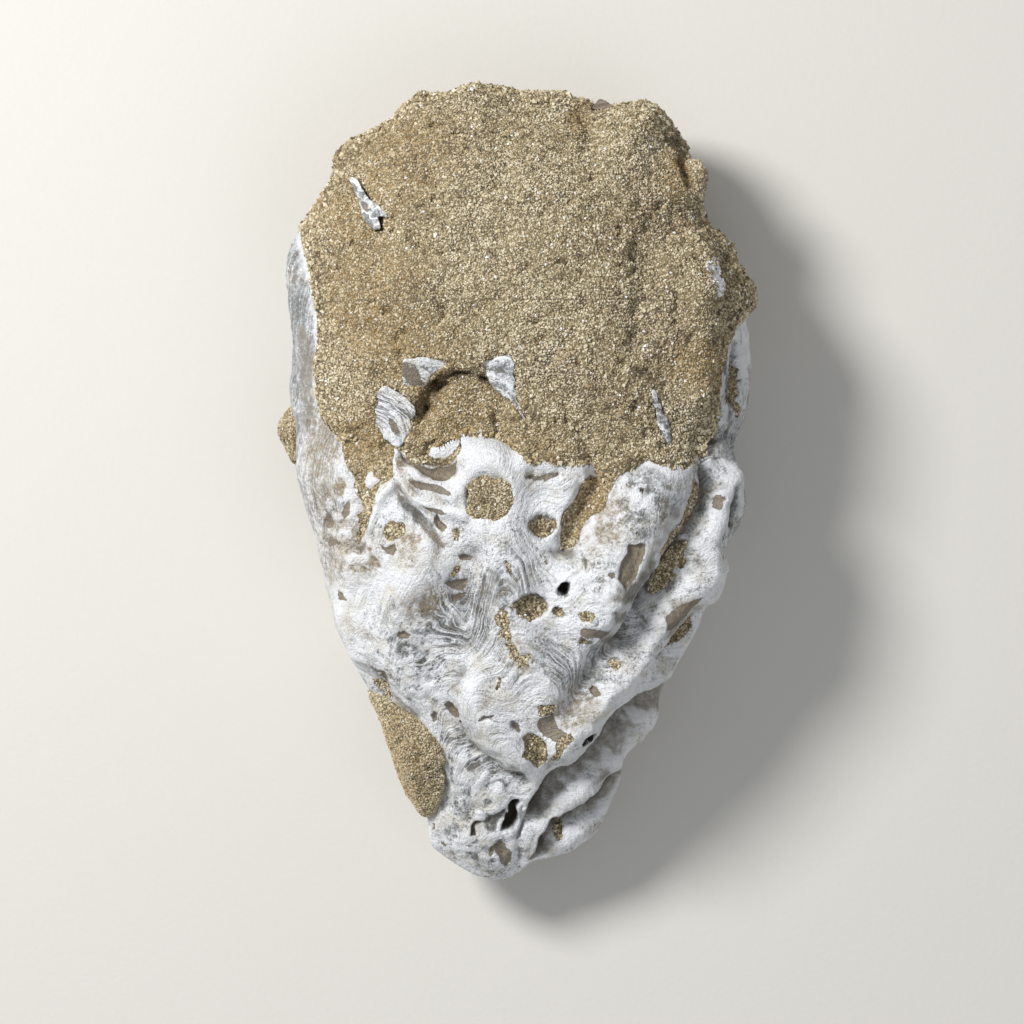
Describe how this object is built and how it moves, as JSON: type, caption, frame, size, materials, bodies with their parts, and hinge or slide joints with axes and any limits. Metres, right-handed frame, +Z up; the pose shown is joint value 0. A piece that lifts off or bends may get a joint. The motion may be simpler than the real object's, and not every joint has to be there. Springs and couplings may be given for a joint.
{
  "type": "fossil oyster shell",
  "caption": "Large ribbed fossil oyster lying flat, its broad end crusted with coarse sandstone, with bored pits and a few shell chips set in the stone.",
  "frame": {"origin": "middle of the bounding box, at its bottom, where the fossil rests", "axes": "+Z up, +Y along the length from the umbo to the broad end, +X to the right seen from above with the umbo nearest"},
  "size_m": [0.108, 0.18, 0.0571],
  "materials": {
    "chalky_shell": "matt, chalky white to grey, laminated",
    "sandstone": "coarse tan grains, a few sparkling",
    "brown_stone": "dull greenish brown"
  },
  "bodies": {
    "root": {"oyster_shell": "chalky_shell", "sandstone_matrix": "sandstone", "sandstone_umbo_patch": "sandstone", "sandstone_centre_plug": "sandstone", "sandstone_groove_plug": "sandstone", "sandstone_side_lump": "sandstone", "shell_fragment_crescent": "chalky_shell", "shell_fragment_left": "chalky_shell", "shell_fragment_right": "chalky_shell", "shell_fragment_flank": "chalky_shell", "shell_sliver": "chalky_shell", "brown_chip": "brown_stone"}
  },
  "joints": []
}
